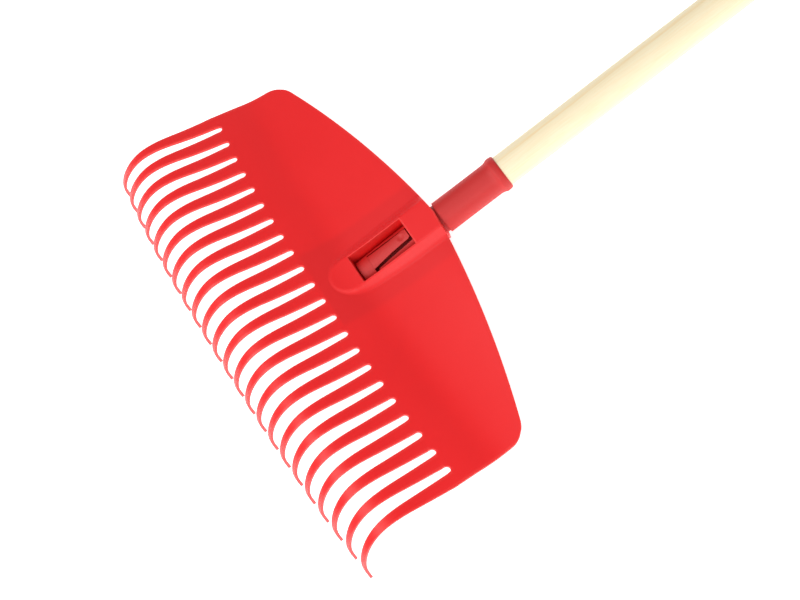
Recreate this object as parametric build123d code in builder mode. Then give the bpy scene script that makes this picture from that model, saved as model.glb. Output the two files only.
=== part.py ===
from build123d import *
from math import asin, degrees, sqrt
import os

# Leaf rake: a moulded head with 23 tines, held on a wooden handle by a snap connector.
# The handle's axis is Y, the tines reach towards -Y and hook down towards -Z, and the front faces +Z.
# The origin lies on the handle's axis, where its taper reaches full thickness. Sizes are millimetres.

# Handle
handle_diameter = 28.5
neck_diameter = 27.4
taper_length = 148.5
handle_length = 1411.5
end_round = 9.0
seat_length = 52.5
seat_end_diameter = 23.6
seat_chamfer = 1.5

# Connector: a sleeve on the wood, then a hollow nose that the head slides over
wood_clearance = 0.05
sleeve_mouth_wall = 0.45
sleeve_length = 63.0
rim_height = 1.6
rim_length = 4.8
flare_length = 13.0
floor_thickness = 2.5
nose_straight = 4.0
nose_length = 77.5
nose_taper = 1.4
nose_wall = 2.2

# Latch tongue, cut out of the nose's front wall and sprung a little proud of it
tongue_length = 38.0
tongue_root_width = 13.0
tongue_end_width = 9.4
tongue_lift = 2.2
tongue_root_gap = 0.5
tongue_end_gap = 1.4
tongue_side_slot = 1.6
root_setback = 11.5
dimple_diameter = 7.0
dimple_depth = 0.7
dimple_setback = 6.5

# Screw through the back of the sleeve into the wood
screw_shank_diameter = 4.0
screw_hole_clearance = 0.2
screw_head_diameter = 7.6
screw_head_height = 2.2
screw_head_clearance = 0.4
screw_length = 15.0
screw_offset = 28.5
screw_seat_depth = 0.8
recess_width = 1.0
recess_length = 4.6
recess_depth = 1.3

# Head: boss, socket and window
socket_clearance = 0.35
socket_wall = 2.9
mouth_gap = 0.9
mouth_depth = 3.0
window_width = 27.0
window_floor = 3.0
nose_end_gap = 1.0
window_margin = 2.5
catch_clearance = 1.2
boss_slope = 4.5
boss_rise = 1.3
boss_overrun = 22.0

# Head: plate and tines
wall = 2.5
tine_count = 23
tine_pitch = 18.0
tine_root_width = 12.2
tine_middle_width = 7.5
tine_tip_width = 2.4
tine_reach = 102.0
crest_rise = 21.4
tip_drop = 27.0
tip_spread = 1.063
row_sweep = 7.9
row_drop = 9.6
plate_length = 114.7
plate_height = 11.4
base_height = 26.9
shoulder_curve = 11.5
shoulder_drop = 45.0
edge_bow = 6.2
side_taper = 5.6
corner_radius = 20.0
rib_thickness = 2.4
rib_depth = 6.0
rib_tines = (2.5, 5.5)

# Places along the axis, worked out from the sizes above
collar_y = -taper_length
mouth_y = collar_y - sleeve_length
seat_y = collar_y - seat_length
screw_y = collar_y - screw_offset
nose_start_y = mouth_y - nose_straight
nose_end_y = mouth_y - nose_length
root_y = nose_end_y + root_setback
tongue_end_y = root_y + tongue_length
window_top_y = tongue_end_y + catch_clearance
window_low_y = nose_end_y - nose_end_gap
boss_end_y = window_low_y - boss_overrun
slot_y = mouth_y - plate_length
neck_radius = neck_diameter / 2
seat_end_radius = seat_end_diameter / 2
sleeve_radius = neck_radius + wood_clearance + sleeve_mouth_wall
rim_radius = sleeve_radius + rim_height
nose_end_radius = sleeve_radius - nose_taper
socket_radius = sleeve_radius + socket_clearance + socket_wall
boss_width = window_width + 2 * window_margin
boss_foot_width = boss_width + 2 * boss_slope
outer_x = tine_pitch * (tine_count // 2)

overcut = 1.0

os.makedirs("parts", exist_ok=True)


def nose_radius_at(y):
    """Outer radius of the connector's nose, which narrows towards its end."""
    share = min(max((nose_start_y - y) / (nose_start_y - nose_end_y), 0), 1)
    return sleeve_radius - nose_taper * share


# The front face's centre profile. The plate is in (share of its length from the slots, share of its
# rise), and the tine in (share of its reach, height over the slot ends).
plate_shape = [(1.07, -0.04), (0.76, 0.01), (0.44, 0.10), (0.28, 0.27), (0.16, 0.58)]
tine_shape = [
    (0.0, 0.0),
    (0.29, crest_rise * 0.55),
    (0.483, crest_rise * 0.93),
    (0.66, crest_rise),
    (0.819, crest_rise * 0.62),
    (0.92, crest_rise * 0.06),
    (0.97, tip_drop * -0.36),
    (0.99, tip_drop * -0.72),
    (1.0, -tip_drop),
]
profile_points = [
    (slot_y + run * plate_length, plate_height + rise * (base_height - plate_height))
    for run, rise in plate_shape
]
profile_points += [(slot_y - run * tine_reach, base_height + rise) for run, rise in tine_shape]

with BuildLine() as profile_line:
    Spline(*profile_points)
profile = profile_line.edges()[0]
base_share = profile.param_at_point(Vector(slot_y, base_height))


def plate_share(y):
    """The profile's share where the plate passes y, found by halving."""
    low, high = 0, base_share
    for _ in range(20):
        middle = (low + high) / 2
        if profile.position_at(middle).X > y:
            low = middle
        else:
            high = middle
    return low


def tine_share(s):
    """The profile's share at the share s of a tine's length."""
    return base_share + (1 - base_share) * s


def fan_at(s):
    """How far the tines have spread at the share s of their length."""
    return 1 + (tip_spread - 1) * (s + s**2) / 2


def tine_width_at(s):
    """Width of a tine, narrowing from its root to its middle and on to its tip."""
    if s < 0.5:
        return tine_root_width + (tine_middle_width - tine_root_width) * s * 2
    return tine_middle_width + (tine_tip_width - tine_middle_width) * (s * 2 - 1)


def place(x, y, z, s):
    """Moves a point of the centre profile to where the bowed head has it at x."""
    foot = x / fan_at(s) / outer_x
    rise = min(max((y - slot_y) / (0.83 * plate_length), 0), 1)
    top = rise**2 * (3 - 2 * rise)
    drop = top * shoulder_curve * foot**2 + (1 - top) * row_drop * (0.32 * foot**2 + 0.68 * foot**4)
    return y + row_sweep * (0.62 * foot**2 + 0.38 * foot**4), z - drop


def head_point(x, share, depth):
    """The point at x and at a share of the profile, set back by depth from the front face."""
    at = profile.position_at(share)
    along = profile.tangent_at(share)
    s = max(0, (share - base_share) / (1 - base_share))
    return place(x, at.X - depth * along.Y, at.Y + depth * along.X, s)


def bowed_sheet(shares, near, far):
    """The bowed head over the given shares of its profile, between two depths behind the front face."""
    half = outer_x * tip_spread + tine_root_width / 2
    steps = 8
    with BuildPart() as sheet:
        for i in range(steps + 1):
            x = half * (2 * i / steps - 1)
            front = [head_point(x, share, near) for share in shares]
            back = [head_point(x, share, far) for share in reversed(shares)]
            with BuildSketch(Plane.YZ.offset(x)):
                with BuildLine():
                    Spline(*front)
                    Line(front[-1], back[0])
                    Spline(*back)
                    Line(back[-1], front[0])
                make_face()
        loft()
    return sheet.part


def slot_plane(x, s):
    """The plane square to the profile at x and at the share s of a tine, with X across the head."""
    at = profile.position_at(tine_share(min(s, 1)))
    along = profile.tangent_at(tine_share(min(s, 1)))
    past = max(0, s - 1) * (1 - base_share) * profile.length
    y, z = place(x, at.X + past * along.X, at.Y + past * along.Y, min(s, 1))
    return Plane(origin=(0, y, z), x_dir=(1, 0, 0), z_dir=(0, along.X, along.Y))


cut_above = 3.0
cut_below = wall + 3.0
slot_shares = [0, 0.12, 0.25, 0.38, 0.5, 0.6, 0.7, 0.8, 0.88, 0.94, 1, 1.04]


def slot_cutter(tine):
    """The gap on the +X side of a tine. On the last tine it is everything outside its edge."""
    with BuildPart() as cutter:
        for s in slot_shares:
            half = tine_width_at(min(s, 1)) / 2
            fan = fan_at(min(s, 1))
            left_x = tine * tine_pitch * fan + half
            right_x = (tine + 1) * tine_pitch * fan - half
            middle_x = (left_x + right_x) / 2
            if tine == tine_count // 2:
                right_x = left_x + 3 * tine_pitch
                middle_x = tine * tine_pitch * fan
            with BuildSketch(slot_plane(middle_x, s)):
                with BuildLine():
                    Polyline((left_x, -cut_below), (right_x, -cut_below), (right_x, cut_above),
                             (left_x, cut_above), close=True)
                make_face()
        loft()
    return cutter.part


# Plan of the head: bowed top edge, rounded shoulders and sides, and open past the slots' ends
side_x = outer_x + tine_root_width / 2
shoulder_x = side_x - side_taper
row_end_y = slot_y + row_sweep - wall
far_x = side_x + 2 * tine_pitch
far_y = slot_y - tine_reach - tine_pitch

with BuildSketch() as head_plan:
    with BuildLine():
        ThreePointArc(
            (0, mouth_y),
            (shoulder_x / 2, mouth_y - shoulder_drop / 2 + edge_bow),
            (shoulder_x, mouth_y - shoulder_drop),
        )
        Polyline((shoulder_x, mouth_y - shoulder_drop), (side_x, row_end_y), (far_x, row_end_y),
                 (far_x, far_y), (0, far_y), (0, mouth_y))
    make_face()
    fillet(head_plan.vertices().group_by(Axis.Y)[-2].sort_by(Axis.X)[-1], radius=corner_radius)
    mirror(about=Plane.YZ)

# Boss and socket: the boss runs flat along the socket, then rises with the plate to a rounded end
boss_round_y = boss_end_y + boss_foot_width / 2
boss_high = base_height + crest_rise
boss_lean = boss_slope / (socket_radius - plate_height / 2)
boss_top_x = boss_width / 2 - boss_lean * (boss_high - socket_radius)
boss_end_height = place(0, boss_end_y, profile.position_at(plate_share(boss_end_y)).Y, 0)[1]

with BuildPart() as socket:
    with BuildSketch(Plane.XZ.offset(-mouth_y)):
        with BuildLine():
            Polyline(
                (boss_top_x, boss_high), (boss_foot_width / 2, plate_height / 2),
                (socket_radius, 0), (-socket_radius, 0),
                (-boss_foot_width / 2, plate_height / 2), (-boss_top_x, boss_high), close=True,
            )
        make_face()
    extrude(amount=mouth_y - boss_end_y)
    with BuildSketch(Plane.YZ):
        with BuildLine():
            Polyline((boss_end_y, 0), (mouth_y, 0), (mouth_y, socket_radius))
            Spline(
                (mouth_y, socket_radius), (window_top_y, socket_radius),
                (window_low_y, socket_radius + boss_rise), (boss_end_y, boss_end_height + boss_rise / 2),
            )
            Line((boss_end_y, boss_end_height + boss_rise / 2), (boss_end_y, 0))
        make_face()
    extrude(amount=boss_foot_width, both=True, mode=Mode.INTERSECT)
    with BuildSketch():
        with BuildLine():
            Polyline((boss_foot_width / 2, boss_round_y), (boss_foot_width / 2, mouth_y),
                     (-boss_foot_width / 2, mouth_y), (-boss_foot_width / 2, boss_round_y))
            RadiusArc((-boss_foot_width / 2, boss_round_y), (boss_foot_width / 2, boss_round_y),
                      -boss_foot_width / 2)
        make_face()
    extrude(amount=boss_high, both=True, mode=Mode.INTERSECT)
    with BuildSketch(Plane.XZ.offset(-mouth_y)):
        Circle(socket_radius)
    extrude(amount=mouth_y - window_low_y + socket_wall)
    extrude(head_plan.sketch, amount=2 * socket_radius, both=True, mode=Mode.INTERSECT)

with BuildPart() as socket_bore:
    with BuildSketch():
        with BuildLine():
            Polyline(
                (0, mouth_y + overcut), (sleeve_radius + mouth_gap, mouth_y + overcut),
                (sleeve_radius + mouth_gap, mouth_y - mouth_depth),
                (sleeve_radius + socket_clearance, nose_start_y),
                (nose_end_radius + socket_clearance, nose_end_y),
                (nose_end_radius + socket_clearance, window_low_y), (0, window_low_y), close=True,
            )
        make_face()
    revolve(axis=Axis.Y)

# Stiffening ribs behind the plate, from the socket out towards the tines
rib_shares = [base_share * share for share in (0.1, 0.25, 0.4, 0.55, 0.7, 0.85, 0.97)]

with BuildPart() as ribs:
    add(bowed_sheet(rib_shares, wall / 2, wall + rib_depth))
    with BuildSketch(Plane.XY.offset(-base_height)):
        for tines_out in rib_tines:
            with BuildLine():
                Line((socket_radius - overcut, window_top_y),
                     (tines_out * tine_pitch, slot_y + tine_pitch / 2))
            trace(line_width=rib_thickness)
        mirror(about=Plane.YZ)
    extrude(amount=3 * base_height, mode=Mode.INTERSECT)

sheet_steps = 22
sheet_shares = [i / sheet_steps for i in range(sheet_steps + 1)]
slot_end_margin = 0.06
slot_end_share = 0.003
slot_end_radius = (tine_pitch - tine_root_width) / 2 + slot_end_margin
slot_cutters = [slot_cutter(tine) for tine in range(tine_count // 2 + 1)]
slot_cutters += [cutter.mirror(Plane.YZ) for cutter in slot_cutters]
slot_ends = []
for tine in range(-(tine_count // 2), tine_count // 2):
    slot_x = (tine + 0.5) * tine_pitch
    across = slot_plane(slot_x, slot_end_share)
    slot_centre = (slot_x, across.origin.Y, across.origin.Z)
    end_plane = Plane(origin=slot_centre, x_dir=(1, 0, 0), z_dir=across.y_dir)
    slot_ends.append(end_plane * Cylinder(slot_end_radius, 2 * cut_below))

with BuildPart() as rake_head:
    add(bowed_sheet(sheet_shares, 0, wall))
    extrude(head_plan.sketch, amount=3 * base_height, both=True, mode=Mode.INTERSECT)
    add(socket.part)
    add(ribs.part)
    add(slot_cutters + slot_ends, mode=Mode.SUBTRACT)
    add(socket_bore.part, mode=Mode.SUBTRACT)
    with Locations((0, (window_top_y + window_low_y) / 2, window_floor)):
        Box(window_width, window_top_y - window_low_y, boss_high,
            align=(Align.CENTER, Align.CENTER, Align.MIN), mode=Mode.SUBTRACT)
rake_head.part.label = "rake_head"
export_step(rake_head.part, "parts/rake_head.step")

# Wooden handle, tapered at the neck and again inside the sleeve
end_y = collar_y + handle_length
round_middle = end_round * (1 - sqrt(0.5))

with BuildPart() as handle:
    with BuildSketch():
        with BuildLine():
            Polyline(
                (handle_diameter / 2 - end_round, end_y), (0, end_y), (0, seat_y),
                (seat_end_radius - seat_chamfer, seat_y), (seat_end_radius, seat_y + seat_chamfer),
                (neck_radius, collar_y - rim_length), (neck_radius, collar_y), (handle_diameter / 2, 0),
                (handle_diameter / 2, end_y - end_round),
            )
            ThreePointArc(
                (handle_diameter / 2, end_y - end_round),
                (handle_diameter / 2 - round_middle, end_y - round_middle),
                (handle_diameter / 2 - end_round, end_y),
            )
        make_face()
    revolve(axis=Axis.Y)
    with Locations((0, screw_y, screw_seat_depth - sleeve_radius)):
        Cylinder(screw_shank_diameter / 2, screw_length, align=(Align.CENTER, Align.CENTER, Align.MIN),
                 mode=Mode.SUBTRACT)
handle.part.label = "handle"
export_step(handle.part, "parts/handle.step")


def tongue_plan(side_gap, root_gap, end_gap):
    """Plan of the latch tongue, narrowing to its free end, with a margin all round."""
    with BuildSketch() as plan:
        with BuildLine():
            Polyline(
                (-tongue_root_width / 2 - side_gap, root_y - root_gap),
                (tongue_root_width / 2 + side_gap, root_y - root_gap),
                (tongue_end_width / 2 + side_gap, tongue_end_y + end_gap),
                (-tongue_end_width / 2 - side_gap, tongue_end_y + end_gap), close=True,
            )
        make_face()
    return plan.sketch


# Connector: sleeve, floor and hollow nose in one moulding
inner_start_radius = sleeve_radius - nose_wall

with BuildPart() as connector:
    with BuildSketch():
        with BuildLine():
            Bezier((neck_radius + wood_clearance, collar_y), (rim_radius, collar_y),
                   (rim_radius, collar_y - rim_length))
            Bezier((rim_radius, collar_y - rim_length), (rim_radius, collar_y - 2 * rim_length),
                   (sleeve_radius, collar_y - 2 * rim_length), (sleeve_radius, collar_y - flare_length))
            Polyline(
                (sleeve_radius, collar_y - flare_length),
                (sleeve_radius, nose_start_y), (nose_end_radius, nose_end_y),
                (nose_end_radius - nose_wall, nose_end_y), (inner_start_radius, nose_start_y),
                (inner_start_radius, seat_y - floor_thickness), (0, seat_y - floor_thickness),
                (0, seat_y - wood_clearance),
                (seat_end_radius + wood_clearance, seat_y - wood_clearance),
                (neck_radius + wood_clearance, collar_y - rim_length),
                (neck_radius + wood_clearance, collar_y),
            )
        make_face()
    revolve(axis=Axis.Y)
    extrude(tongue_plan(tongue_side_slot, tongue_root_gap, tongue_end_gap), amount=2 * rim_radius,
            mode=Mode.SUBTRACT)
    with Locations((0, screw_y, -sleeve_radius)):
        Cylinder(screw_shank_diameter / 2 + screw_hole_clearance, screw_length,
                 align=(Align.CENTER, Align.CENTER, Align.MIN), mode=Mode.SUBTRACT)
        Cylinder(screw_head_diameter / 2 + screw_head_clearance, screw_seat_depth,
                 align=(Align.CENTER, Align.CENTER, Align.MIN), mode=Mode.SUBTRACT)
connector.part.label = "connector"
export_step(connector.part, "parts/connector.step")

# Latch tongue: a strip of the nose's wall, bent up about its root until its free end catches the window
root_hinge = Axis((0, root_y, nose_radius_at(root_y) - nose_wall / 2), (1, 0, 0))
lift_angle = degrees(asin(tongue_lift / tongue_length))
print("latch hinge at", root_hinge.position, "pressed flush at", round(lift_angle, 2), "degrees")

with BuildPart() as flat_tongue:
    with BuildSketch():
        with BuildLine():
            Polyline(
                (0, nose_start_y), (sleeve_radius, nose_start_y),
                (nose_end_radius, nose_end_y), (0, nose_end_y), close=True,
            )
        make_face()
    revolve(axis=Axis.Y)
    with BuildSketch():
        with BuildLine():
            Polyline(
                (0, nose_start_y), (inner_start_radius, nose_start_y),
                (nose_end_radius - nose_wall, nose_end_y), (0, nose_end_y), close=True,
            )
        make_face()
    revolve(axis=Axis.Y, mode=Mode.SUBTRACT)
    extrude(tongue_plan(0, 0, 0), amount=2 * rim_radius, mode=Mode.INTERSECT)

dimple_radius = dimple_diameter**2 / 8 / dimple_depth + dimple_depth / 2
dimple_y = tongue_end_y - dimple_setback
dimple_lift = tongue_lift * (1 - dimple_setback / tongue_length)
dimple_floor = nose_radius_at(dimple_y) + dimple_lift - dimple_depth

with BuildPart() as latch_tongue:
    add(flat_tongue.part.rotate(root_hinge, lift_angle))
    with Locations((0, dimple_y, dimple_floor + dimple_radius)):
        Sphere(dimple_radius, mode=Mode.SUBTRACT)
latch_tongue.part.label = "latch_tongue"
export_step(latch_tongue.part, "parts/latch_tongue.step")

# Pan-head screw with a plain cross recess, driven up into the wood from behind
screw_seat_z = screw_seat_depth - sleeve_radius

with BuildPart() as sleeve_screw:
    with Locations((0, screw_y, screw_seat_z)):
        Cylinder(screw_shank_diameter / 2, screw_length, align=(Align.CENTER, Align.CENTER, Align.MIN))
        Cylinder(screw_head_diameter / 2, screw_head_height, align=(Align.CENTER, Align.CENTER, Align.MAX))
    fillet(sleeve_screw.edges().group_by(Axis.Z)[0], radius=screw_head_height * 0.6)
    with Locations((0, screw_y, screw_seat_z - screw_head_height)):
        Box(recess_length, recess_width, 2 * recess_depth, mode=Mode.SUBTRACT)
        Box(recess_width, recess_length, 2 * recess_depth, mode=Mode.SUBTRACT)
sleeve_screw.part.label = "sleeve_screw"
export_step(sleeve_screw.part, "parts/sleeve_screw.step")
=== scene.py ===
import math

import bmesh
import bpy
import numpy as np
from mathutils import Matrix, Vector


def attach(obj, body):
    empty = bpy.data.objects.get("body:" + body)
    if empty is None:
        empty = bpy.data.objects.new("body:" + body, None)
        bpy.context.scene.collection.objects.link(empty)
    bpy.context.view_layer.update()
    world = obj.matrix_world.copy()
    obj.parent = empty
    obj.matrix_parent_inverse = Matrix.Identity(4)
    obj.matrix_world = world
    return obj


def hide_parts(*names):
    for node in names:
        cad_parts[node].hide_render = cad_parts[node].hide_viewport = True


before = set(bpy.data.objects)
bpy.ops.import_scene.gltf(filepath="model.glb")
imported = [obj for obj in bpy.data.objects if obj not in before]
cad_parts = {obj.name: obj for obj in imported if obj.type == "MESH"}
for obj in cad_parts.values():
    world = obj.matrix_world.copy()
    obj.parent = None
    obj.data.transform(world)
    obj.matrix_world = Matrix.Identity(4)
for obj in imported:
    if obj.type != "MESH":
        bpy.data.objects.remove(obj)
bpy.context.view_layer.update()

scene = bpy.context.scene
mm = 0.001  # sizes below are in millimetres, as on the drawing


# places shared by the pieces that fit each other
fit = {
    "mouthY": -211.5,
    "noseStartY": -215.5,
    "noseEndY": -289.0,
    "rootY": -277.5,
    "tongueEndY": -239.5,
    "windowTopY": -238.3,
    "windowLowY": -290.0,
    "slotY": -326.2,
    "sleeveRadius": 14.2,
    "noseEndRadius": 12.8,
    "noseWall": 2.2,
    "clearance": 0.35,
    "socketRadius": 17.45,
}


def noseRadiusAt(y):
    share = (fit["noseStartY"] - y) / (fit["noseStartY"] - fit["noseEndY"])
    share = min(max(share, 0), 1)
    return fit["sleeveRadius"] + (fit["noseEndRadius"] - fit["sleeveRadius"]) * share


def finishMesh(bm, name, smoothAngle=40):
    bmesh.ops.scale(bm, vec=(mm, mm, mm), verts=bm.verts)
    mesh = bpy.data.meshes.new(name)
    bm.to_mesh(mesh)
    bm.free()
    piece = bpy.data.objects.new(name, mesh)
    scene.collection.objects.link(piece)
    mesh.shade_smooth()
    mesh.set_sharp_from_angle(angle=math.radians(smoothAngle))
    return piece


def sharpEdges(bm, degrees):
    limit = math.radians(degrees)
    return [e for e in bm.edges if len(e.link_faces) == 2 and e.calc_face_angle() > limit]


def softenEdges(bm, edges, offset, segments=2):
    wear = bm.verts.layers.float.get("wear") or bm.verts.layers.float.new("wear")
    done = bmesh.ops.bevel(bm, geom=edges, offset=offset, offset_type="OFFSET", segments=segments,
                           profile=0.5, affect="EDGES", material=-1, clamp_overlap=True)
    for v in done["verts"]:
        v[wear] = 1.0


def curveThrough(start, pull, end, steps=8):
    # a quarter-round run of points, pulled towards the corner between its ends
    points = []
    for i in range(steps + 1):
        t = i / steps
        points.append(tuple((1 - t) ** 2 * a + 2 * t * (1 - t) * b + t * t * c
                            for a, b, c in zip(start, pull, end)))
    return points


def spinRound(profile, steps=96):
    # profile is (radius, y) from end to end, turned about the handle's axis
    bm = bmesh.new()
    verts = [bm.verts.new((radius, y, 0)) for radius, y in profile]
    edges = [bm.edges.new(pair) for pair in zip(verts, verts[1:])]
    bmesh.ops.spin(bm, geom=verts + edges, cent=(0, 0, 0), axis=(0, 1, 0), dvec=(0, 0, 0),
                   angle=2 * math.pi, steps=steps, use_merge=True, use_duplicate=False)
    bmesh.ops.remove_doubles(bm, verts=bm.verts, dist=0.001)
    bmesh.ops.recalc_face_normals(bm, faces=bm.faces)
    return bm


def cutAway(piece, cutterMesh, name):
    cutter = finishMesh(cutterMesh, name)
    cut = piece.modifiers.new("cut", "BOOLEAN")
    cut.operation = "DIFFERENCE"
    cut.solver = "EXACT"
    cut.object = cutter
    bpy.context.view_layer.update()
    seen = piece.evaluated_get(bpy.context.evaluated_depsgraph_get())
    made = bpy.data.meshes.new_from_object(seen)
    piece.modifiers.clear()
    old = piece.data
    piece.data = made
    bpy.data.meshes.remove(old)
    bpy.data.objects.remove(cutter)
    piece.data.shade_smooth()
    piece.data.set_sharp_from_angle(angle=math.radians(40))


def joinPieces(pieces, name):
    bm = bmesh.new()
    for piece in pieces:
        bm.from_mesh(piece.data)
        bpy.data.objects.remove(piece)
    mesh = bpy.data.meshes.new(name)
    bm.to_mesh(mesh)
    bm.free()
    whole = bpy.data.objects.new(name, mesh)
    scene.collection.objects.link(whole)
    mesh.shade_smooth()
    mesh.set_sharp_from_angle(angle=math.radians(40))
    return whole


headShape = {
    "wall": 2.5,
    "tines": 23,
    "pitch": 18.0,
    "outerX": 198.0,
    "rootWidth": 12.2,
    "middleWidth": 7.5,
    "tipWidth": 2.4,
    "tineReach": 102.0,
    "crestRise": 21.4,
    "tipDrop": 27.0,
    "tipSpread": 1.063,
    "rowSweep": 7.9,
    "rowDrop": 9.6,
    "plateLength": 114.7,
    "plateHeight": 11.4,
    "baseHeight": 26.9,
    "shoulderCurve": 11.5,
    "shoulderDrop": 45.0,
    "shoulderX": 198.5,
    "edgeBow": 6.2,
    "cornerRadius": 20.0,
    "ridgeShare": 0.83,
    "edgeRound": 0.5,
    "plateRows": 34,
    "slotRows": 4,
    "tineRows": 60,
}
shape = headShape
riseHeight = shape["baseHeight"] - shape["plateHeight"]
plateKnots = [(1.07, -0.04), (0.76, 0.01), (0.44, 0.10), (0.28, 0.27), (0.16, 0.58)]
tineKnots = [
    (0, 0),
    (0.29, 0.55 * shape["crestRise"]),
    (0.483, 0.93 * shape["crestRise"]),
    (0.66, shape["crestRise"]),
    (0.819, 0.62 * shape["crestRise"]),
    (0.92, 0.06 * shape["crestRise"]),
    (0.97, -0.36 * shape["tipDrop"]),
    (0.99, -0.72 * shape["tipDrop"]),
    (1, -shape["tipDrop"]),
]
knots = [(fit["slotY"] + run * shape["plateLength"], shape["plateHeight"] + rise * riseHeight)
         for run, rise in plateKnots]
knots += [(fit["slotY"] - run * shape["tineReach"], shape["baseHeight"] + rise)
          for run, rise in tineKnots]
knots = np.array(knots)
chord = np.concatenate([[0], np.cumsum(np.hypot(*np.diff(knots, axis=0).T))])
baseShare = chord[len(plateKnots)] / chord[-1]


def bendsOf(values):
    # second derivatives of the smooth line through the knots, its end slopes those of a cubic
    # through the four nearest knots
    gap = np.diff(chord)
    count = len(chord)
    matrix = np.zeros((count, count))
    right = np.zeros(count)
    slopes = []
    for near, at in ((slice(0, 4), chord[0]), (slice(-4, None), chord[-1])):
        cubic = np.polyfit(chord[near] - at, values[near], 3)
        slopes.append(cubic[2])
    matrix[0, :2] = 2 * gap[0], gap[0]
    right[0] = 6 * ((values[1] - values[0]) / gap[0] - slopes[0])
    matrix[-1, -2:] = gap[-1], 2 * gap[-1]
    right[-1] = 6 * (slopes[1] - (values[-1] - values[-2]) / gap[-1])
    for i in range(1, count - 1):
        matrix[i, i - 1:i + 2] = gap[i - 1], 2 * (gap[i - 1] + gap[i]), gap[i]
        right[i] = 6 * ((values[i + 1] - values[i]) / gap[i] - (values[i] - values[i - 1]) / gap[i - 1])
    return np.linalg.solve(matrix, right)


bends = [bendsOf(knots[:, 0]), bendsOf(knots[:, 1])]


def profileAt(share):
    # point (y, z) of the head's centre line at a share of its length
    at = min(max(share, 0), 1) * chord[-1]
    i = min(max(int(np.searchsorted(chord, at)) - 1, 0), len(chord) - 2)
    gap = chord[i + 1] - chord[i]
    b = (at - chord[i]) / gap
    a = 1 - b
    point = []
    for axis in (0, 1):
        bend = bends[axis]
        point.append(a * knots[i, axis] + b * knots[i + 1, axis]
                     + ((a**3 - a) * bend[i] + (b**3 - b) * bend[i + 1]) * gap**2 / 6)
    return point


plateLine = np.array([profileAt(baseShare * i / 200) for i in range(200, -1, -1)])


def fanAt(s):
    return 1 + (shape["tipSpread"] - 1) * (s + s * s) / 2


def tineWidthAt(s):
    if s < 0.5:
        return shape["rootWidth"] + (shape["middleWidth"] - shape["rootWidth"]) * s * 2
    return shape["middleWidth"] + (shape["tipWidth"] - shape["middleWidth"]) * (s * 2 - 1)


def sweepAt(x, s=0):
    foot = x / fanAt(s) / shape["outerX"]
    return shape["rowSweep"] * (0.62 * foot**2 + 0.38 * foot**4)


def dropAt(x, y, s=0):
    foot = x / fanAt(s) / shape["outerX"]
    rise = min(max((y - fit["slotY"]) / (shape["ridgeShare"] * shape["plateLength"]), 0), 1)
    top = rise * rise * (3 - 2 * rise)
    low = shape["rowDrop"] * (0.32 * foot**2 + 0.68 * foot**4)
    return top * shape["shoulderCurve"] * foot**2 + (1 - top) * low


def plateZ(x, y):
    # height of the plate's front face over a point of its plan
    along = y - sweepAt(x)
    return float(np.interp(along, plateLine[:, 0], plateLine[:, 1])) - dropAt(x, along)


# The plan's top edge is one arc on each side, joined to the leaning side by a round corner
startPoint = Vector((0, fit["mouthY"]))
endPoint = Vector((shape["shoulderX"], fit["mouthY"] - shape["shoulderDrop"]))
bowPoint = (startPoint + endPoint) / 2 + Vector((0, shape["edgeBow"]))
sideX = shape["outerX"] + shape["rootWidth"] / 2
sideEnd = Vector((sideX, fit["slotY"] + shape["rowSweep"] - shape["wall"]))


def circleThrough(a, b, c):
    d = 2 * (a.x * (b.y - c.y) + b.x * (c.y - a.y) + c.x * (a.y - b.y))
    aa, bb, cc = a.length_squared, b.length_squared, c.length_squared
    centre = Vector(((aa * (b.y - c.y) + bb * (c.y - a.y) + cc * (a.y - b.y)) / d,
                     (aa * (c.x - b.x) + bb * (a.x - c.x) + cc * (b.x - a.x)) / d))
    return centre, (a - centre).length


edgeCentre, edgeRadius = circleThrough(startPoint, bowPoint, endPoint)
sideWay = (sideEnd - endPoint).normalized()
inward = Vector((sideWay.y, -sideWay.x))
reach = edgeRadius - shape["cornerRadius"]
fromCentre = endPoint + inward * shape["cornerRadius"] - edgeCentre
along = fromCentre.dot(sideWay)
candidates = [endPoint + inward * shape["cornerRadius"] + sideWay * (-along + sign * math.sqrt(
    along**2 - fromCentre.length_squared + reach**2)) for sign in (-1, 1)]
cornerCentre = min(candidates, key=lambda p: (p - endPoint).length)
cornerTop = edgeCentre + (cornerCentre - edgeCentre).normalized() * edgeRadius
cornerSide = cornerCentre - inward * shape["cornerRadius"]
cornerOut = ((cornerTop + cornerSide) / 2 - cornerCentre).normalized()
cornerMiddle = cornerCentre + cornerOut * shape["cornerRadius"]


def topEdgeY(x):
    x = abs(x)
    if x < cornerTop.x:
        return edgeCentre.y + math.sqrt(edgeRadius**2 - (x - edgeCentre.x)**2)
    return cornerCentre.y + math.sqrt(max(shape["cornerRadius"]**2 - (x - cornerCentre.x)**2, 0))


def sideEdgeX(y):
    if y > cornerSide.y:
        return cornerCentre.x + math.sqrt(max(shape["cornerRadius"]**2 - (y - cornerCentre.y)**2, 0))
    return endPoint.x + (y - endPoint.y) / sideWay.y * sideWay.x


def headColumns():
    # columns of the sheet from side to side: on a tine (number, share of half width), or across a slot
    columns = []
    half = shape["tines"] // 2
    for tine in range(-half, half + 1):
        columns += [("tine", tine, side) for side in (-1, -0.5, 0, 0.5, 1)]
        if tine < half:
            columns += [("slot", tine + 0.5, math.pi * step / 6) for step in range(1, 6)]
    return columns


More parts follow.
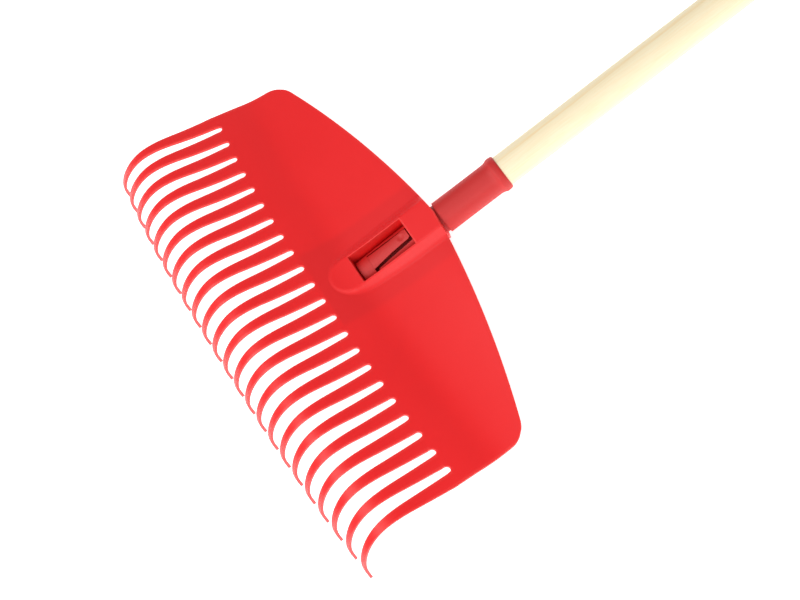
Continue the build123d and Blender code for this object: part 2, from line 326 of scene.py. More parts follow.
def plateVertex(column, row):
    kind, number, place = column
    slotHalf = (shape["pitch"] - shape["rootWidth"]) / 2
    if kind == "tine":
        rootX = number * shape["pitch"] + place * shape["rootWidth"] / 2
        startY = fit["slotY"]
    else:
        rootX = number * shape["pitch"] - slotHalf * math.cos(place)
        startY = fit["slotY"] + slotHalf * math.sin(place)
    straightY = fit["slotY"] + 3 * slotHalf
    topX = rootX * cornerMiddle.x / sideX

    def rowY(begin, top):
        if row <= shape["slotRows"]:
            return begin + (straightY - begin) * row / shape["slotRows"]
        share = (row - shape["slotRows"]) / shape["plateRows"]
        return straightY + (top - straightY) * share

    sideY = rowY(fit["slotY"], cornerMiddle.y - sweepAt(cornerMiddle.x))
    narrow = sideEdgeX(sideY + sweepAt(sideX)) / sideX
    x = rootX * min(narrow, 1)
    y = rowY(startY, topEdgeY(topX) - sweepAt(topX))
    at = float(np.interp(y, plateLine[:, 0], plateLine[:, 1]))
    return Vector((x, y + sweepAt(x), at - dropAt(x, y)))


def tineVertex(column, s):
    kind, number, place = column
    x = number * shape["pitch"] * fanAt(s)
    if kind == "tine":
        x += place * tineWidthAt(s) / 2
    y, z = profileAt(baseShare + (1 - baseShare) * s)
    return Vector((x, y + sweepAt(x, s), z - dropAt(x, y, s)))


def makeSheet():
    columns = headColumns()
    upRows = shape["slotRows"] + shape["plateRows"]
    allRows = upRows + shape["tineRows"]
    bm = bmesh.new()
    bmesh.ops.create_grid(bm, x_segments=len(columns) - 1, y_segments=allRows, size=1)
    places = {}
    for v in bm.verts:
        column = round((v.co.x + 1) / 2 * (len(columns) - 1))
        row = round((v.co.y + 1) / 2 * allRows) - shape["tineRows"]
        places[v] = (column, row)
        if row >= 0:
            v.co = plateVertex(columns[column], row)
        else:
            v.co = tineVertex(columns[column], -row / shape["tineRows"])
    spare = []
    for face in bm.faces:
        rows = [places[v][1] for v in face.verts]
        overSlot = any(columns[places[v][0]][0] == "slot" for v in face.verts)
        middle = face.calc_center_median()
        underBoss = abs(middle.x) < 15 and middle.y > fit["windowLowY"] - 4
        if (min(rows) < 0 and overSlot) or underBoss:
            spare.append(face)
    bmesh.ops.delete(bm, geom=spare, context="FACES")
    bmesh.ops.recalc_face_normals(bm, faces=bm.faces)
    if sum(face.normal.z for face in bm.faces) < 0:
        bmesh.ops.reverse_faces(bm, faces=bm.faces)
    bmesh.ops.solidify(bm, geom=bm.faces[:], thickness=shape["wall"])
    bmesh.ops.recalc_face_normals(bm, faces=bm.faces)
    softenEdges(bm, sharpEdges(bm, 50), shape["edgeRound"])
    print("sheet made,", len(bm.verts), "vertices")
    return finishMesh(bm, "headSheet")


# the raised boss over the socket
bossShape = {
    "halfTop": 14.6,
    "lean": 0.75,
    "topZ": 17.45,
    "riseStartY": -250.0,
    "riseLength": 62.0,
    "endRise": 4.9,
    "endY": -312.0,
    "roundY": -297.0,
    "windowHalf": 13.5,
    "topCrease": 0.8,
    "footCrease": 2.0,
    "rimRound": 0.6,
    "mouthGap": 0.9,
    "mouthDepth": 3.0,
    "sheetHalf": 38.0,
    "sheetEndY": -322.0,
    "endWall": 2.4,
}


def softMax(a, b, reach):
    near = max(reach - abs(a - b), 0) / reach
    return max(a, b) + near * near * reach / 4


def bossDistance(x, y):
    past = min(y - bossShape["roundY"], 0)
    return math.hypot(x, past)


def bossZ(x, y):
    climb = max(0, (bossShape["riseStartY"] - y) / bossShape["riseLength"])
    top = bossShape["topZ"] + bossShape["endRise"] * climb**3
    flank = top - (bossDistance(x, y) - bossShape["halfTop"]) * bossShape["lean"]
    crown = -softMax(-top, -flank, bossShape["topCrease"])
    return softMax(plateZ(x, y), crown, bossShape["footCrease"]) - 0.05


def bossFloorZ(x, y):
    # underside: level with the axis over the socket, then up into the plate's thickness
    distance = math.hypot(x, min(y - bossShape["endY"] - fit["socketRadius"], 0))
    if distance <= fit["socketRadius"] - 0.2:
        return 0.0
    return plateZ(x, y) - shape["wall"] / 2


def spreadAlong(anchors, counts, share):
    marks = [0]
    for count in counts:
        marks.append(marks[-1] + count)
    return float(np.interp(share * marks[-1], marks, anchors))


def makeBoss():
    window = bossShape["windowHalf"]
    edge = bossShape["sheetHalf"]
    acrossAnchors = [-edge, -17.6, -16.8, -window, window, 16.8, 17.6, edge]
    acrossCounts = [20, 2, 6, 24, 6, 2, 20]
    downAnchors = [fit["mouthY"], fit["windowTopY"], fit["windowLowY"], bossShape["sheetEndY"]]
    downCounts = [16, 34, 36]
    bm = bmesh.new()
    bmesh.ops.create_grid(bm, x_segments=sum(acrossCounts), y_segments=sum(downCounts), size=1)
    for v in bm.verts:
        x = spreadAlong(acrossAnchors, acrossCounts, (v.co.x + 1) / 2)
        y = spreadAlong(downAnchors, downCounts, (1 - v.co.y) / 2)
        limit = topEdgeY(x) - 0.1
        stretch = (fit["windowTopY"] - limit) / (fit["windowTopY"] - fit["mouthY"])
        if y > fit["windowTopY"]:
            y = fit["windowTopY"] + (y - fit["windowTopY"]) * stretch
        v.co = (x, y, 0)
    middleX = window - 0.2
    hole = []
    for face in bm.faces:
        middle = face.calc_center_median()
        if abs(middle.x) < middleX and fit["windowLowY"] < middle.y < fit["windowTopY"]:
            hole.append(face)
    bmesh.ops.delete(bm, geom=hole, context="FACES")
    bmesh.ops.recalc_face_normals(bm, faces=bm.faces)
    if sum(face.normal.z for face in bm.faces) < 0:
        bmesh.ops.reverse_faces(bm, faces=bm.faces)
    under = bmesh.ops.duplicate(bm, geom=bm.verts[:] + bm.edges[:] + bm.faces[:])
    lowVerts = set(g for g in under["geom"] if isinstance(g, bmesh.types.BMVert))
    lowFaces = [g for g in under["geom"] if isinstance(g, bmesh.types.BMFace)]
    bmesh.ops.reverse_faces(bm, faces=lowFaces)
    for v in bm.verts:
        v.co.z = bossFloorZ(v.co.x, v.co.y) if v in lowVerts else bossZ(v.co.x, v.co.y)
    rims = [e for e in bm.edges if e.is_boundary]
    inner = [e for e in rims if all(abs(v.co.x) < window + 0.1 and v.co.y > fit["windowLowY"] - 0.1
                                    and v.co.y < fit["windowTopY"] + 0.1 for v in e.verts)]
    outer = [e for e in rims if e not in set(inner)]
    bmesh.ops.bridge_loops(bm, edges=inner)
    bmesh.ops.bridge_loops(bm, edges=outer)
    bmesh.ops.recalc_face_normals(bm, faces=bm.faces)
    rimEdges = [e for e in sharpEdges(bm, 50) if min(v.co.z for v in e.verts) > 12
                and all(abs(v.co.x) < 16.5 for v in e.verts)]
    softenEdges(bm, rimEdges, bossShape["rimRound"], segments=3)
    boss = finishMesh(bm, "headBoss")
    clear = fit["clearance"]
    opened = fit["sleeveRadius"] + bossShape["mouthGap"]
    bore = [
        (0, fit["mouthY"] + 2), (opened, fit["mouthY"] + 2),
        (opened, fit["mouthY"] - bossShape["mouthDepth"]),
        (fit["sleeveRadius"] + clear, fit["noseStartY"]),
        (fit["noseEndRadius"] + clear, fit["noseEndY"]),
        (fit["noseEndRadius"] + clear, fit["windowLowY"]), (0, fit["windowLowY"]),
    ]
    cutAway(boss, spinRound(bore), "boreCutter")
    return boss


def makeSocket():
    outer = fit["socketRadius"]
    clear = fit["clearance"]
    opened = fit["sleeveRadius"] + bossShape["mouthGap"]
    endY = fit["windowLowY"] - bossShape["endWall"]
    profile = [
        (0, fit["windowLowY"]), (fit["noseEndRadius"] + clear, fit["windowLowY"]),
        (fit["noseEndRadius"] + clear, fit["noseEndY"]),
        (fit["sleeveRadius"] + clear, fit["noseStartY"]),
        (opened, fit["mouthY"] - bossShape["mouthDepth"]),
        (opened, fit["mouthY"] - 0.4), (opened + 0.4, fit["mouthY"]),
    ]
    profile += curveThrough((outer - 0.8, fit["mouthY"]), (outer, fit["mouthY"]),
                            (outer, fit["mouthY"] - 0.8), 4)
    profile += curveThrough((outer, endY + 2.5), (outer, endY), (outer - 2.5, endY), 6)
    profile += [(0, endY)]
    bm = spinRound(profile)
    for v in bm.verts:
        v.co.y = min(v.co.y, topEdgeY(v.co.x) - 1.2)
    cut = bmesh.ops.bisect_plane(bm, geom=bm.verts[:] + bm.edges[:] + bm.faces[:], plane_co=(0, 0, 0.4),
                                 plane_no=(0, 0, 1), clear_outer=True)
    rim = [e for e in cut["geom_cut"] if isinstance(e, bmesh.types.BMEdge)]
    bmesh.ops.triangle_fill(bm, edges=rim, use_beauty=True)
    return finishMesh(bm, "headSocket")


ribShape = {"thickness": 2.4, "depth": 6.0, "tinesOut": (2.5, 5.5), "edgeRound": 0.5, "steps": 26}


def makeRib(tinesOut, side):
    start = Vector((fit["socketRadius"] - 1, fit["windowTopY"]))
    end = Vector((tinesOut * shape["pitch"], fit["slotY"] + shape["pitch"] / 2))
    bm = bmesh.new()
    bmesh.ops.create_grid(bm, x_segments=ribShape["steps"], y_segments=4, size=1)
    across = Vector((end.y - start.y, start.x - end.x)).normalized()
    for v in bm.verts:
        place = start.lerp(end, (v.co.x + 1) / 2)
        low = (1 - v.co.y) / 2
        taper = min(1, 0.35 + (1 - (v.co.x + 1) / 2) * 4)
        back = shape["wall"] / 2 + (shape["wall"] / 2 + ribShape["depth"] * taper) * low
        point = place - across * ribShape["thickness"] / 2
        v.co = (side * point.x, point.y, plateZ(place.x, place.y) - back)
    grown = bmesh.ops.extrude_face_region(bm, geom=bm.faces[:])
    moved = [g for g in grown["geom"] if isinstance(g, bmesh.types.BMVert)]
    shift = Vector((side * across.x, across.y, 0)) * ribShape["thickness"]
    bmesh.ops.translate(bm, verts=moved, vec=shift)
    bmesh.ops.recalc_face_normals(bm, faces=bm.faces)
    softenEdges(bm, sharpEdges(bm, 50), ribShape["edgeRound"])
    return finishMesh(bm, "headRib")


headParts = [makeSheet(), makeBoss(), makeSocket()]
print("sheet, boss and socket made")
headParts += [makeRib(out, side) for out in ribShape["tinesOut"] for side in (-1, 1)]
headMoulding = joinPieces(headParts, "headMoulding")
print("head joined,", len(headMoulding.data.polygons), "faces")


connectorShape = {
    "collarY": -148.5,
    "neckRadius": 13.75,
    "rimRadius": 15.8,
    "lipLength": 4.8,
    "flareLength": 13.0,
    "grooveDepth": 1.6,
    "grooveWidth": 1.1,
    "seatY": -201.0,
    "seatRadius": 11.85,
    "floor": 2.5,
    "sideSlot": 1.6,
    "notchWidth": 1.0,
    "notchLength": 3.0,
    "rootGap": 0.5,
    "endGap": 1.4,
    "rootWidth": 13.0,
    "endWidth": 9.4,
    "screwY": -177.0,
    "screwHole": 2.2,
    "screwSeat": 4.2,
    "seatDepth": 0.8,
}


def makeConnector():
    size = connectorShape
    body = fit["sleeveRadius"]
    lipY = size["collarY"] - size["lipLength"]
    flareY = size["collarY"] - size["flareLength"]
    profile = [(0, size["seatY"]), (size["seatRadius"], size["seatY"]),
               (size["neckRadius"], lipY), (size["neckRadius"], size["collarY"] - 0.3)]
    profile += curveThrough((size["neckRadius"] + 0.3, size["collarY"]),
                            (size["rimRadius"], size["collarY"]), (size["rimRadius"], lipY), 10)
    middleY = lipY - 2.6
    middleRadius = (body + size["rimRadius"]) / 2
    profile += curveThrough((size["rimRadius"], lipY - 0.2), (size["rimRadius"], lipY - 1.4),
                            (middleRadius, middleY), 6)
    profile += curveThrough((middleRadius, middleY - 0.1), (body, middleY - 1.8), (body, flareY), 8)
    # a narrow groove where the head's mouth stops
    profile += [(body, fit["mouthY"] + size["grooveWidth"] + 0.2),
                (body - 0.2, fit["mouthY"] + size["grooveWidth"]),
                (body - size["grooveDepth"], fit["mouthY"] + size["grooveWidth"] - 0.1),
                (body - size["grooveDepth"], fit["mouthY"] - 2.2), (body, fit["mouthY"] - 2.3)]
    profile += [(body, fit["noseStartY"]), (fit["noseEndRadius"], fit["noseEndY"] + 0.6)]
    profile += curveThrough((fit["noseEndRadius"], fit["noseEndY"] + 0.5),
                            (fit["noseEndRadius"], fit["noseEndY"]),
                            (fit["noseEndRadius"] - 0.5, fit["noseEndY"]), 3)
    profile += [
        (fit["noseEndRadius"] - fit["noseWall"] + 0.3, fit["noseEndY"]),
        (fit["noseEndRadius"] - fit["noseWall"], fit["noseEndY"] + 0.3),
        (body - fit["noseWall"], fit["noseStartY"]),
        (body - fit["noseWall"], size["seatY"] - size["floor"]), (0, size["seatY"] - size["floor"]),
    ]
    connector = finishMesh(spinRound(profile, 128), "connectorBody")
    # the gap round the tongue, and the seat and hole for the screw behind
    gap = bmesh.new()
    rootHalf = size["rootWidth"] / 2 + size["sideSlot"]
    endHalf = size["endWidth"] / 2 + size["sideSlot"]
    notchY = fit["rootY"] - size["rootGap"] + size["notchLength"]
    gapRootY = fit["rootY"] - size["rootGap"]
    gapEndY = fit["tongueEndY"] + size["endGap"]
    corners = [
        (-rootHalf, gapRootY), (rootHalf + size["notchWidth"], gapRootY),
        (rootHalf + size["notchWidth"], notchY), (rootHalf, notchY + 0.1),
        (endHalf, gapEndY), (-endHalf, gapEndY),
    ]
    face = gap.faces.new([gap.verts.new((x, y, 3)) for x, y in corners])
    grown = bmesh.ops.extrude_face_region(gap, geom=[face])
    lifted = [g for g in grown["geom"] if isinstance(g, bmesh.types.BMVert)]
    bmesh.ops.translate(gap, verts=lifted, vec=(0, 0, 20))
    bmesh.ops.recalc_face_normals(gap, faces=gap.faces)
    cutAway(connector, gap, "tongueGap")
    for radius, depth in ((size["screwHole"], 6), (size["screwSeat"], size["seatDepth"])):
        hole = bmesh.new()
        place = Matrix.Translation((0, size["screwY"], depth / 2 - body - 1))
        bmesh.ops.create_cone(hole, cap_ends=True, segments=48, radius1=radius, radius2=radius,
                              depth=depth + 2, matrix=place)
        cutAway(connector, hole, "screwHole")
    return connector


connectorBody = makeConnector()
print("connector made")


# the tongue is a strip of the nose's wall, sprung up to catch the window's end
tongueShape = {
    "rootHalf": 6.5,
    "rootClear": 0.12,
    "waistHalf": 5.0,
    "endHalf": 4.7,
    "lift": 2.2,
    "thickness": 2.1,
    "dimpleRadius": 3.2,
    "dimpleDepth": 0.9,
    "dimpleBack": 6.5,
    "edgeRound": 0.35,
    "across": 20,
    "along": 60,
}


def makeTongue():
    size = tongueShape
    startY = fit["rootY"] - connectorShape["rootGap"] + size["rootClear"]
    length = fit["tongueEndY"] - startY
    bm = bmesh.new()
    bmesh.ops.create_grid(bm, x_segments=size["across"], y_segments=size["along"], size=1)
    for v in bm.verts:
        share = (v.co.y + 1) / 2
        y = startY + length * share
        half = float(np.interp(share, [0, 0.5, 0.8, 1],
                               [size["rootHalf"], size["waistHalf"], size["endHalf"], size["endHalf"]]))
        if share > 0.94:
            half -= (share - 0.94) / 0.06 * 0.8
        x = v.co.x * half
        radius = noseRadiusAt(y)
        z = math.sqrt(radius**2 - x * x) + size["lift"] * share
        away = math.hypot(x, y - (fit["tongueEndY"] - size["dimpleBack"])) / size["dimpleRadius"]
        if away < 1:
            z -= size["dimpleDepth"] * (1 - away * away)
        v.co = (x, y, z)
    bmesh.ops.recalc_face_normals(bm, faces=bm.faces)
    if sum(face.normal.z for face in bm.faces) < 0:
        bmesh.ops.reverse_faces(bm, faces=bm.faces)
    bmesh.ops.solidify(bm, geom=bm.faces[:], thickness=size["thickness"])
    bmesh.ops.recalc_face_normals(bm, faces=bm.faces)
    rims = [e for e in sharpEdges(bm, 50) if max(v.co.y for v in e.verts) > startY + 0.4]
    softenEdges(bm, rims, size["edgeRound"])
    return finishMesh(bm, "latchTongue")


latchTongue = makeTongue()
print("tongue made")


handleShape = {
    "radius": 14.25,
    "neckRadius": 13.7,
    "seatRadius": 11.8,
    "endY": 1263.0,
    "endRound": 9.0,
    "seatChamfer": 1.5,
    "seatGap": 0.05,
}


def makeHandle():
    size = handleShape
    seatY = connectorShape["seatY"] + size["seatGap"]
    chamfer = size["seatChamfer"]
    profile = [(0, seatY), (size["seatRadius"] - chamfer, seatY), (size["seatRadius"], seatY + chamfer),
               (size["neckRadius"], connectorShape["collarY"] - 3.2),
               (size["neckRadius"], connectorShape["collarY"])]
    steps = 12
    for i in range(1, steps + 1):
        share = i / steps
        profile.append((size["neckRadius"] + (size["radius"] - size["neckRadius"]) * share,
                        connectorShape["collarY"] * (1 - share)))
    profile += [(size["radius"], size["endY"] * i / 20) for i in range(1, 20)]
    profile += [(size["radius"] - size["endRound"] * (1 - math.cos(turn)),
                 size["endY"] - size["endRound"] * (1 - math.sin(turn)))
                for turn in [math.pi / 2 * i / 10 for i in range(11)]]
    profile.append((0, size["endY"]))
    return finishMesh(spinRound(profile, 96), "woodHandle", 60)


woodHandle = makeHandle()
print("handle made")


def newGroup(name, inputs, outputs):
    group = bpy.data.node_groups.new(name, "ShaderNodeTree")
    for label, kind, value in inputs:
        socket = group.interface.new_socket(name=label, in_out="INPUT", socket_type=kind)
        if value is not None:
            socket.default_value = value
    for label, kind in outputs:
        group.interface.new_socket(name=label, in_out="OUTPUT", socket_type=kind)
    return group, group.nodes.new("NodeGroupInput"), group.nodes.new("NodeGroupOutput")


def addNode(tree, kind, **settings):
    node = tree.nodes.new(kind)
    for label, value in settings.items():
        setattr(node, label, value)
    return node


def addMath(tree, operation, first, second):
    node = addNode(tree, "ShaderNodeMath", operation=operation)
    for socket, value in zip(node.inputs, (first, second)):
        if isinstance(value, (int, float)):
            socket.default_value = value
        else:
            tree.links.new(value, socket)
    return node.outputs[0]


def addNoise(tree, vector, scale, detail=3, roughness=0.5):
    node = addNode(tree, "ShaderNodeTexNoise")
    tree.links.new(vector, node.inputs["Vector"])
    for label, value in (("Scale", scale), ("Detail", detail), ("Roughness", roughness)):
        if isinstance(value, (int, float)):
            node.inputs[label].default_value = value
        else:
            tree.links.new(value, node.inputs[label])
    return node.outputs[0]


def addRamp(tree, factor, stops):
    node = addNode(tree, "ShaderNodeValToRGB")
    tree.links.new(factor, node.inputs[0])
    ramp = node.color_ramp
    while len(ramp.elements) < len(stops):
        ramp.elements.new(0.5)
    for element, (place, colour) in zip(ramp.elements, stops):
        element.position = place
        element.color = (*colour, 1)
    return node.outputs[0]


def addMix(tree, factor, first, second, blend="MIX"):
    node = addNode(tree, "ShaderNodeMix", data_type="RGBA", blend_type=blend)
    for socket, value in zip((node.inputs[0], node.inputs[6], node.inputs[7]), (factor, first, second)):
        if isinstance(value, (int, float)):
            socket.default_value = value
        elif isinstance(value, tuple):
            socket.default_value = (*value, 1)
        else:
            tree.links.new(value, socket)
    return node.outputs[2]


def makeMouldedGroup():
    # fine spark-eroded grain, slow flow mottling and faint scuffs of a plastic moulding
    group, given, result = newGroup(
        "mouldedSurface",
        [("Vector", "NodeSocketVector", None), ("Grain Scale", "NodeSocketFloat", 2600.0),
         ("Mottle Scale", "NodeSocketFloat", 14.0)],
        [("Mottle", "NodeSocketFloat"), ("Scuff", "NodeSocketFloat"), ("Height", "NodeSocketFloat")])
    vector = given.outputs["Vector"]
    grain = addNoise(group, vector, given.outputs["Grain Scale"], 2, 0.6)
    mottle = addNoise(group, vector, given.outputs["Mottle Scale"], 4, 0.55)
    scuffs = addNoise(group, vector, 120.0, 6, 0.7)
    above = addMath(group, "SUBTRACT", scuffs, 0.55)
    scuff = addMath(group, "SMOOTH_MIN", addMath(group, "MULTIPLY", above, 4.0), 1.0)
    slow = addMath(group, "MULTIPLY", mottle, 0.25)
    group.links.new(mottle, result.inputs["Mottle"])
    group.links.new(addMath(group, "MAXIMUM", scuff, 0.0), result.inputs["Scuff"])
    group.links.new(addMath(group, "ADD", grain, slow), result.inputs["Height"])
    return group


def makeWearGroup():
    # worn edges: the mask modelled on the rounded edges, broken up by noise
    group, given, result = newGroup(
        "edgeWear",
        [("Vector", "NodeSocketVector", None), ("Edge", "NodeSocketFloat", 0.0),
         ("Amount", "NodeSocketFloat", 0.5)],
        [("Wear", "NodeSocketFloat")])
    patches = addNoise(group, given.outputs["Vector"], 160.0, 5, 0.6)
    broken = addMath(group, "MULTIPLY", given.outputs["Edge"], patches)
    group.links.new(addMath(group, "MULTIPLY", broken, given.outputs["Amount"]), result.inputs["Wear"])
    return group


mouldedGroup = makeMouldedGroup()
wearGroup = makeWearGroup()
print("surface groups made")


def newMaterial(name):
    material = bpy.data.materials.new(name)
    material.use_nodes = True
    tree = material.node_tree
    shader = tree.nodes["Principled BSDF"]
    coords = addNode(tree, "ShaderNodeTexCoord").outputs["Object"]
    return material, tree, shader, coords


def addBump(tree, shader, height, strength, distance):
    bump = addNode(tree, "ShaderNodeBump")
    bump.inputs["Strength"].default_value = strength
    bump.inputs["Distance"].default_value = distance
    tree.links.new(height, bump.inputs["Height"])
    tree.links.new(bump.outputs[0], shader.inputs["Normal"])


def makePlastic(name, look):
    material, tree, shader, coords = newMaterial(name)
    moulded = addNode(tree, "ShaderNodeGroup", node_tree=mouldedGroup)
    tree.links.new(coords, moulded.inputs["Vector"])
    moulded.inputs["Grain Scale"].default_value = look["grainScale"]
    moulded.inputs["Mottle Scale"].default_value = look["mottleScale"]
    edge = addNode(tree, "ShaderNodeAttribute", attribute_name="wear")
    worn = addNode(tree, "ShaderNodeGroup", node_tree=wearGroup)
    tree.links.new(coords, worn.inputs["Vector"])
    tree.links.new(edge.outputs["Fac"], worn.inputs["Edge"])
    worn.inputs["Amount"].default_value = look["edgeWear"]
    colour = addMix(tree, moulded.outputs["Mottle"], look["deep"], look["light"])
    colour = addMix(tree, worn.outputs["Wear"], colour, look["worn"])
    tree.links.new(colour, shader.inputs["Base Color"])
    rough = addMath(tree, "MULTIPLY", moulded.outputs["Mottle"], look["roughSpread"])
    rough = addMath(tree, "ADD", rough, look["roughness"])
    scuffed = addMath(tree, "MULTIPLY", moulded.outputs["Scuff"], look["scuff"])
    rough = addMath(tree, "ADD", rough, scuffed)
    tree.links.new(rough, shader.inputs["Roughness"])
    shader.inputs["Specular IOR Level"].default_value = look["specular"]
    shader.inputs["Subsurface Weight"].default_value = look["glow"]
    shader.inputs["Subsurface Radius"].default_value = (1.0, 0.25, 0.2)
    shader.inputs["Subsurface Scale"].default_value = 0.002
    addBump(tree, shader, moulded.outputs["Height"], look["bump"], 0.0002)
    return material


headLook = {
    "deep": (0.84, 0.006, 0.008),
    "light": (0.90, 0.010, 0.012),
    "worn": (0.92, 0.12, 0.10),
    "grainScale": 1800.0,
    "mottleScale": 12.0,
    "edgeWear": 0.5,
    "roughness": 0.36,
    "roughSpread": 0.12,
    "scuff": 0.08,
    "specular": 0.5,
    "glow": 0.1,
    "bump": 0.12,
}
connectorLook = {
    "deep": (0.56, 0.010, 0.009),
    "light": (0.64, 0.016, 0.014),
    "worn": (0.76, 0.08, 0.07),
    "grainScale": 2400.0,
    "mottleScale": 30.0,
    "edgeWear": 0.5,
    "roughness": 0.50,
    "roughSpread": 0.12,
    "scuff": 0.06,
    "specular": 0.6,
    "glow": 0.0,
    "bump": 0.3,
}
headPlastic = makePlastic("headPlastic", headLook)
connectorPlastic = makePlastic("connectorPlastic", connectorLook)

woodLook = {
    "pale": (0.98, 0.86, 0.60),
    "warm": (0.95, 0.72, 0.38),
    "streak": (0.84, 0.54, 0.24),
    "roughness": 0.42,
    "ringScale": 95.0,
    "alongGrain": 0.045,  # how far the figure is drawn out along the handle
    "bend": 0.006,
}


def makeWood():
    material, tree, shader, coords = newMaterial("handleWood")
    stretched = addNode(tree, "ShaderNodeMapping")
    stretched.inputs["Scale"].default_value = (1.0, woodLook["alongGrain"], 1.0)
    tree.links.new(coords, stretched.inputs["Vector"])
    bent = addNode(tree, "ShaderNodeTexNoise")
    bent.inputs["Scale"].default_value = 9.0
    tree.links.new(stretched.outputs[0], bent.inputs["Vector"])
    shifted = addNode(tree, "ShaderNodeVectorMath", operation="MULTIPLY_ADD")
    tree.links.new(bent.outputs["Color"], shifted.inputs[0])
    shifted.inputs[1].default_value = (woodLook["bend"], 0.0, woodLook["bend"])
    tree.links.new(stretched.outputs[0], shifted.inputs[2])
    rings = addNode(tree, "ShaderNodeTexWave", wave_type="RINGS", rings_direction="Y",
                    wave_profile="SAW")
    rings.inputs["Scale"].default_value = woodLook["ringScale"]
    rings.inputs["Distortion"].default_value = 1.2
    rings.inputs["Detail"].default_value = 2.0
    tree.links.new(shifted.outputs[0], rings.inputs["Vector"])
    fibres = addNoise(tree, stretched.outputs[0], 900.0, 4, 0.65)
    pores = addNoise(tree, stretched.outputs[0], 2600.0, 2, 0.6)
    broad = addNoise(tree, stretched.outputs[0], 55.0, 3, 0.5)
    colour = addRamp(tree, rings.outputs["Fac"], [(0.0, woodLook["pale"]), (0.72, woodLook["pale"]),
                                                  (0.93, woodLook["warm"]), (1.0, woodLook["pale"])])
    fine = addRamp(tree, fibres, [(0.35, woodLook["warm"]), (0.6, woodLook["pale"])])
    colour = addMix(tree, 0.35, colour, fine)
    patches = addMath(tree, "MAXIMUM", addMath(tree, "SUBTRACT", broad, 0.58), 0.0)
    dark = addMath(tree, "MULTIPLY", patches, 1.6)
    colour = addMix(tree, dark, colour, woodLook["streak"])
    tree.links.new(colour, shader.inputs["Base Color"])
    rough = addMath(tree, "ADD", addMath(tree, "MULTIPLY", fibres, 0.2), woodLook["roughness"])
    tree.links.new(rough, shader.inputs["Roughness"])
    relief = addMath(tree, "ADD", addMath(tree, "MULTIPLY", pores, 0.5), fibres)
    addBump(tree, shader, relief, 0.25, 0.00012)
    return material


steelLook = {
    "dull": (0.52, 0.53, 0.55),
    "bright": (0.74, 0.73, 0.70),
    "mottleScale": 400.0,
    "roughness": 0.22,
    "roughSpread": 0.2,
}


def makeSteel():
    material, tree, shader, coords = newMaterial("screwSteel")
    moulded = addNode(tree, "ShaderNodeGroup", node_tree=mouldedGroup)
    tree.links.new(coords, moulded.inputs["Vector"])
    moulded.inputs["Mottle Scale"].default_value = steelLook["mottleScale"]
    colour = addMix(tree, moulded.outputs["Mottle"], steelLook["dull"], steelLook["bright"])
    tree.links.new(colour, shader.inputs["Base Color"])
    shader.inputs["Metallic"].default_value = 1.0
    rough = addMath(tree, "MULTIPLY", moulded.outputs["Mottle"], steelLook["roughSpread"])
    rough = addMath(tree, "ADD", rough, steelLook["roughness"])
    tree.links.new(rough, shader.inputs["Roughness"])
    addBump(tree, shader, moulded.outputs["Height"], 0.15, 0.0001)
    return material


handleWood = makeWood()
screwSteel = makeSteel()
print("materials made")


def place(piece, material, body, slot, node):
    # a piece's finish, the body that it rides on and the solid that it stands for
    piece.data.materials.clear()
    piece.data.materials.append(material)
    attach(piece, body)
    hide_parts(node)


place(headMoulding, headPlastic, "rake", "head_plastic", "rake_head")
place(connectorBody, connectorPlastic, "rake", "connector_plastic", "connector")
place(latchTongue, connectorPlastic, "latch", "connector_plastic", "latch_tongue")
place(woodHandle, handleWood, "rake", "handle_wood", "handle")
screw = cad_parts["sleeve_screw"]
screw.data.materials.clear()
screw.data.materials.append(screwSteel)


studio = {
    "floorZ": -0.018,
    "floorSize": 12.0,
    "floorColour": (0.93, 0.93, 0.93),
    "floorPale": (0.95, 0.95, 0.95),
    "floorGlow": 0.85,
    "skyStrength": 0.42,
    "keyPower": 24.0,
    "keySize": 1.6,
    "keyPlace": (1.7, -1.0, 1.5),
    "sheenPower": 22.0,
    "sheenPlace": (-0.22, -1.25, 2.0),
    "lightTarget": (0.0, -0.25, 0.0),
}

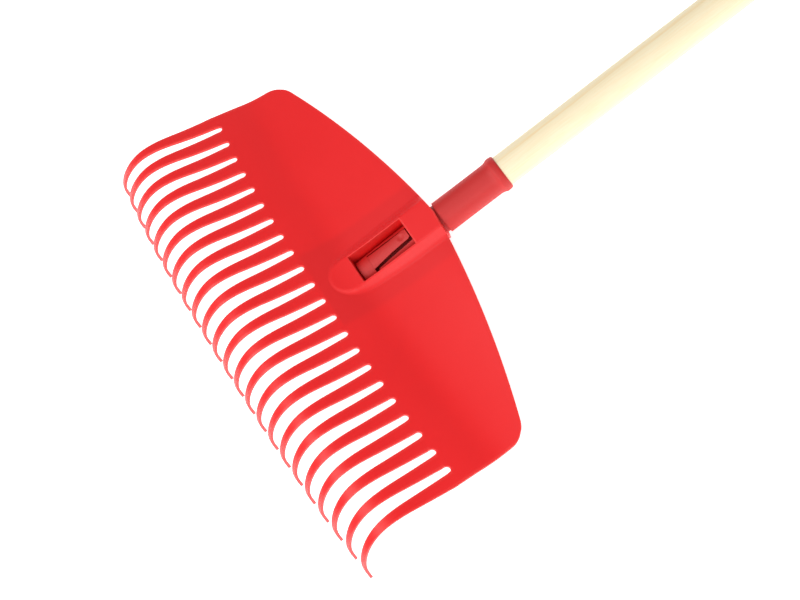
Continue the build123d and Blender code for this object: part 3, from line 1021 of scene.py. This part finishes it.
bm = bmesh.new()
bmesh.ops.create_grid(bm, x_segments=1, y_segments=1, size=studio["floorSize"] / 2)
bmesh.ops.translate(bm, verts=bm.verts, vec=(0, 0, studio["floorZ"]))
floorMesh = bpy.data.meshes.new("studioFloor")
bm.to_mesh(floorMesh)
bm.free()
floor = bpy.data.objects.new("studioFloor", floorMesh)
scene.collection.objects.link(floor)
paper, paperTree, paperShader, paperCoords = newMaterial("palePaper")
mottle = addNoise(paperTree, paperCoords, 1.5)
paperTone = addMix(paperTree, mottle, studio["floorColour"], studio["floorPale"])
paperTree.links.new(paperTone, paperShader.inputs["Base Color"])
paperShader.inputs["Roughness"].default_value = 0.9
paperShader.inputs["Emission Color"].default_value = (1, 1, 1, 1)
paperShader.inputs["Emission Strength"].default_value = studio["floorGlow"]
floorMesh.materials.append(paper)

world = bpy.data.worlds.new("studioWorld")
world.use_nodes = True
world.node_tree.nodes["Background"].inputs["Color"].default_value = (1, 1, 1, 1)
world.node_tree.nodes["Background"].inputs["Strength"].default_value = studio["skyStrength"]
scene.world = world


def addSoftLight(name, power, size, place):
    light = bpy.data.lights.new(name, "AREA")
    light.shape = "DISK"
    light.energy = power
    light.size = size
    lamp = bpy.data.objects.new(name, light)
    scene.collection.objects.link(lamp)
    lamp.location = place
    aim = Vector(studio["lightTarget"]) - Vector(place)
    lamp.rotation_euler = aim.to_track_quat("-Z", "Y").to_euler()


addSoftLight("keyLight", studio["keyPower"], studio["keySize"], studio["keyPlace"])
addSoftLight("sheenLight", studio["sheenPower"], studio["keySize"], studio["sheenPlace"])

view = {
    "place": (0.86954, -0.11911, 1.56624),
    "right": (0.50216, 0.79241, -0.34631),
    "down": (0.72768, -0.60356, -0.32588),
    "forward": (-0.46725, -0.08836, -0.87970),
    "lens": 99.45,
    "shift": 0.000625,
}
cameraData = bpy.data.cameras.new("studioCamera")
cameraData.lens = view["lens"]
cameraData.sensor_width = 36.0
cameraData.shift_x = -view["shift"]
cameraData.shift_y = view["shift"]
cameraData.clip_start = 0.01
cameraData.clip_end = 100.0
camera = bpy.data.objects.new("studioCamera", cameraData)
scene.collection.objects.link(camera)
axes = Matrix([view["right"], [-a for a in view["down"]], [-a for a in view["forward"]]]).transposed()
camera.matrix_world = Matrix.Translation(view["place"]) @ axes.to_4x4()
scene.camera = camera
scene.view_settings.view_transform = "Standard"
print("floor, light and camera set")
